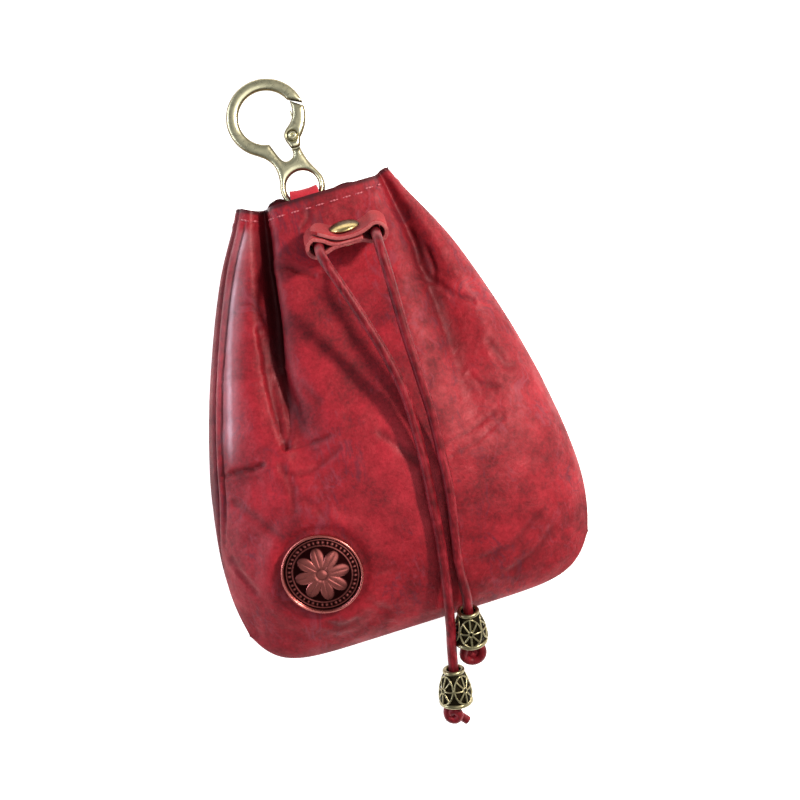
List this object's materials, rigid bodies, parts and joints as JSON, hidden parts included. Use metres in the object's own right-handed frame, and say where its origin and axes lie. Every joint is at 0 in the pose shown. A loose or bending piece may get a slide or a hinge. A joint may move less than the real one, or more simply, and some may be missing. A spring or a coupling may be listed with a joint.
{
  "type": "drawstring pouch",
  "caption": "Small soft leather drawstring pouch lying on its back, with a gathered mouth, a leather cord keeper, cord beads, a domed medallion and a hinged ring snap clip.",
  "frame": {"origin": "middle of the pouch and clip together, leaving out the cord and what is on it, at the level of the surface that the back lies on", "axes": "+X to the pouch's right seen from the front, +Y from the bottom seam to the mouth and the clip, +Z out of the front panel"},
  "size_m": [0.1118, 0.2072, 0.0383],
  "materials": {
    "waxed_red_leather": "waxed, glossy, crinkled",
    "red_nubuck": "matte, slightly fibrous",
    "round_leather_cord": "satin",
    "antique_pale_brass": "polished antique plating",
    "antique_dark_brass": "antique, dark in the recesses",
    "patinated_bronze": "dark red patina, satin"
  },
  "bodies": {
    "pouch": {"front_panel": "waxed_red_leather", "back_panel": "waxed_red_leather", "hanging_loop": "red_nubuck", "drawstring": "round_leather_cord", "knot_left": "round_leather_cord", "knot_right": "round_leather_cord", "medallion": "patinated_bronze", "medallion_screw": "antique_dark_brass"},
    "clip": {"clip_frame": "antique_pale_brass", "gate_pin": "antique_pale_brass"},
    "gate": {"clip_gate": "antique_pale_brass", "gate_spring": "antique_pale_brass"},
    "keeper": {"keeper_strap": "red_nubuck", "keeper_rivet_cap": "antique_pale_brass", "keeper_rivet_base": "antique_pale_brass"},
    "bead_left": {"bead_left": "antique_dark_brass"},
    "bead_right": {"bead_right": "antique_dark_brass"}
  },
  "joints": [
    {"name": "clip_swing", "type": "hinge", "parent": "pouch", "child": "clip", "pos_m": [-0.00301, 0.04623, 0.0062], "axis": [1, 0, 0], "range_deg": [0, 45]},
    {"name": "gate_swing", "type": "hinge", "parent": "clip", "child": "gate", "pos_m": [-0.00204, 0.067, 0.00379], "axis": [0, 0.1153, 0.9933], "range_deg": [0, 30], "stiffness_Nm_per_rad": 0.004, "springref_deg": -17.19},
    {"name": "keeper_slide", "type": "slide", "parent": "pouch", "child": "keeper", "axis": [0, -0.342, 0.9397], "range_m": [0, 0.004]},
    {"name": "bead_left_slide", "type": "slide", "parent": "pouch", "child": "bead_left", "axis": [0.1313, 0.9286, 0.3471], "range_m": [0, 0.005]},
    {"name": "bead_right_slide", "type": "slide", "parent": "pouch", "child": "bead_right", "axis": [0.1301, 0.8538, 0.5041], "range_m": [0, 0.003]}
  ]
}
